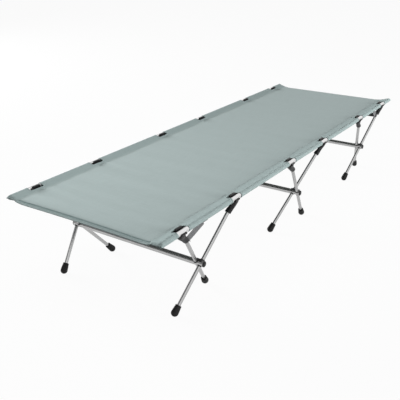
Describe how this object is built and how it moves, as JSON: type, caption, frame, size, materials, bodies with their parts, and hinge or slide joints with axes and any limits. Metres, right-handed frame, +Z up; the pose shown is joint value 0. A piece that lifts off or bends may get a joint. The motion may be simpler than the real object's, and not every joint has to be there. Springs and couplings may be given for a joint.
{
  "type": "folding cot",
  "caption": "Low camping cot: one taut cloth deck sleeved over two side poles, clipped onto three crossed-leg frames whose outer legs swing flat.",
  "frame": {"origin": "on the floor below the middle of the bed", "axes": "+X along the bed from the foot end to the head end, +Y across it to the left, +Z up"},
  "size_m": [1.9, 0.629, 0.335],
  "materials": {
    "aluminium": "satin anodised tube",
    "black_nylon": "moulded, fine grain",
    "grey_nylon": "moulded, satin",
    "boot_rubber": "moulded, matt",
    "bed_cloth": "plain-woven synthetic cloth, stretched",
    "grey_webbing": "ribbed webbing"
  },
  "bodies": {
    "leg_frames": {"crossbar_foot": "aluminium", "fixed_leg_foot_left_tube": "aluminium", "fixed_leg_foot_left_hook": "black_nylon", "fixed_leg_foot_left_boot": "boot_rubber", "pivot_pin_foot_left": "black_nylon", "fixed_leg_foot_right_tube": "aluminium", "fixed_leg_foot_right_hook": "black_nylon", "fixed_leg_foot_right_boot": "boot_rubber", "pivot_pin_foot_right": "black_nylon", "crossbar_middle": "aluminium", "fixed_leg_middle_left_tube": "aluminium", "fixed_leg_middle_left_hook": "black_nylon", "fixed_leg_middle_left_boot": "boot_rubber", "pivot_pin_middle_left": "black_nylon", "fixed_leg_middle_right_tube": "aluminium", "fixed_leg_middle_right_hook": "black_nylon", "fixed_leg_middle_right_boot": "boot_rubber", "pivot_pin_middle_right": "black_nylon", "crossbar_head": "aluminium", "fixed_leg_head_left_tube": "aluminium", "fixed_leg_head_left_hook": "black_nylon", "fixed_leg_head_left_boot": "boot_rubber", "pivot_pin_head_left": "black_nylon", "fixed_leg_head_right_tube": "aluminium", "fixed_leg_head_right_hook": "black_nylon", "fixed_leg_head_right_boot": "boot_rubber", "pivot_pin_head_right": "black_nylon"},
    "bed": {"end_strap_foot": "grey_webbing", "end_strap_head": "grey_webbing", "side_pole_foot_left": "aluminium", "side_pole_foot_right": "aluminium", "side_pole_middle_left": "aluminium", "side_pole_middle_right": "aluminium", "side_pole_head_left": "aluminium", "side_pole_head_right": "aluminium", "bed_fabric": "bed_cloth"},
    "swing_leg_foot_left": {"swing_leg_foot_left_tube": "aluminium", "swing_leg_foot_left_hook": "black_nylon", "swing_leg_foot_left_boot": "boot_rubber", "pivot_hub_foot_left": "grey_nylon"},
    "swing_leg_foot_right": {"swing_leg_foot_right_tube": "aluminium", "swing_leg_foot_right_hook": "black_nylon", "swing_leg_foot_right_boot": "boot_rubber", "pivot_hub_foot_right": "grey_nylon"},
    "swing_leg_middle_left": {"swing_leg_middle_left_tube": "aluminium", "swing_leg_middle_left_hook": "black_nylon", "swing_leg_middle_left_boot": "boot_rubber", "pivot_hub_middle_left": "grey_nylon"},
    "swing_leg_middle_right": {"swing_leg_middle_right_tube": "aluminium", "swing_leg_middle_right_hook": "black_nylon", "swing_leg_middle_right_boot": "boot_rubber", "pivot_hub_middle_right": "grey_nylon"},
    "swing_leg_head_left": {"swing_leg_head_left_tube": "aluminium", "swing_leg_head_left_hook": "black_nylon", "swing_leg_head_left_boot": "boot_rubber", "pivot_hub_head_left": "grey_nylon"},
    "swing_leg_head_right": {"swing_leg_head_right_tube": "aluminium", "swing_leg_head_right_hook": "black_nylon", "swing_leg_head_right_boot": "boot_rubber", "pivot_hub_head_right": "grey_nylon"}
  },
  "joints": [
    {"name": "bed_lift", "type": "slide", "parent": "leg_frames", "child": "bed", "axis": [0, 0, 1], "range_m": [0, 0.35]},
    {"name": "swing_foot_left", "type": "hinge", "parent": "leg_frames", "child": "swing_leg_foot_left", "pos_m": [-0.689, 0.2689, 0.1445], "axis": [0, 1, 0], "range_deg": [0, 75]},
    {"name": "swing_foot_right", "type": "hinge", "parent": "leg_frames", "child": "swing_leg_foot_right", "pos_m": [-0.689, -0.2689, 0.1445], "axis": [0, 1, 0], "range_deg": [0, 75]},
    {"name": "swing_middle_left", "type": "hinge", "parent": "leg_frames", "child": "swing_leg_middle_left", "pos_m": [0, 0.2689, 0.1445], "axis": [0, -1, 0], "range_deg": [0, 75]},
    {"name": "swing_middle_right", "type": "hinge", "parent": "leg_frames", "child": "swing_leg_middle_right", "pos_m": [0, -0.2689, 0.1445], "axis": [0, -1, 0], "range_deg": [0, 75]},
    {"name": "swing_head_left", "type": "hinge", "parent": "leg_frames", "child": "swing_leg_head_left", "pos_m": [0.689, 0.2689, 0.1445], "axis": [0, 1, 0], "range_deg": [0, 75]},
    {"name": "swing_head_right", "type": "hinge", "parent": "leg_frames", "child": "swing_leg_head_right", "pos_m": [0.689, -0.2689, 0.1445], "axis": [0, 1, 0], "range_deg": [0, 75]}
  ],
  "couplings": [
    {"joint": "swing_foot_left", "follows": "bed_lift", "rad_per_m": 3.73},
    {"joint": "swing_foot_right", "follows": "bed_lift", "rad_per_m": 3.73},
    {"joint": "swing_middle_left", "follows": "bed_lift", "rad_per_m": 3.73},
    {"joint": "swing_middle_right", "follows": "bed_lift", "rad_per_m": 3.73},
    {"joint": "swing_head_left", "follows": "bed_lift", "rad_per_m": 3.73},
    {"joint": "swing_head_right", "follows": "bed_lift", "rad_per_m": 3.73}
  ]
}
